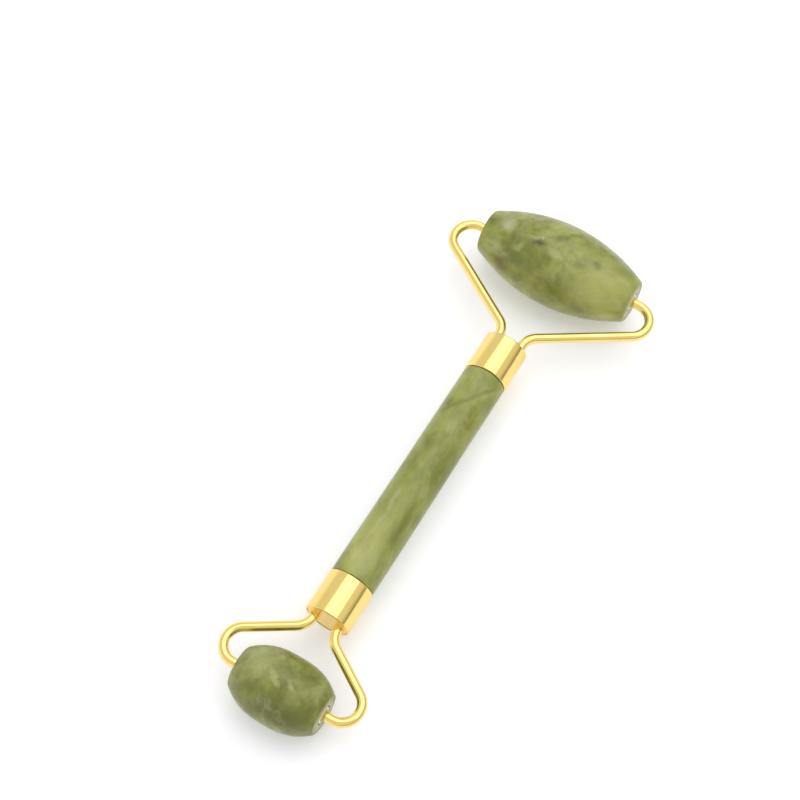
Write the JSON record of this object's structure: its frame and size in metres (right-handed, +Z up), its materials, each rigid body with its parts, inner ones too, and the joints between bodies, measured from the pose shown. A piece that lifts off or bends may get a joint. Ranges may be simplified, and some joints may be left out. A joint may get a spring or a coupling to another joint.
{
  "type": "face roller",
  "caption": "Hand-held facial massage roller: a large and a small green stone barrel spin in gold wire forks at the ends of a green stone handle.",
  "frame": {"origin": "on the surface that the roller lies on, below the centre of its bounding box", "axes": "+X along both roller axles, +Y from the small stone towards the large stone, +Z up from the surface"},
  "size_m": [0.0552, 0.1436, 0.0206],
  "materials": {
    "green_jade": "polished",
    "gold_plate": "polished",
    "white_nylon": "satin",
    "cured_epoxy": "satin"
  },
  "bodies": {
    "frame": {"jade_handle": "green_jade", "large_wire_fork": "gold_plate", "large_ferrule": "gold_plate", "large_ferrule_cap": "gold_plate", "large_epoxy_fill": "cured_epoxy", "small_wire_fork": "gold_plate", "small_ferrule": "gold_plate", "small_ferrule_cap": "gold_plate", "small_epoxy_fill": "cured_epoxy"},
    "large_roller": {"large_roller_stone": "green_jade", "large_bush_left": "white_nylon", "large_bush_right": "white_nylon"},
    "small_roller": {"small_roller_stone": "green_jade", "small_bush_left": "white_nylon", "small_bush_right": "white_nylon"}
  },
  "joints": [
    {"name": "large_roller_spin", "type": "hinge", "parent": "frame", "child": "large_roller", "pos_m": [0, 0.06152, 0.0103], "axis": [1, 0, 0], "continuous": true},
    {"name": "small_roller_spin", "type": "hinge", "parent": "frame", "child": "small_roller", "pos_m": [0, -0.06347, 0.00835], "axis": [1, 0, 0], "continuous": true}
  ]
}
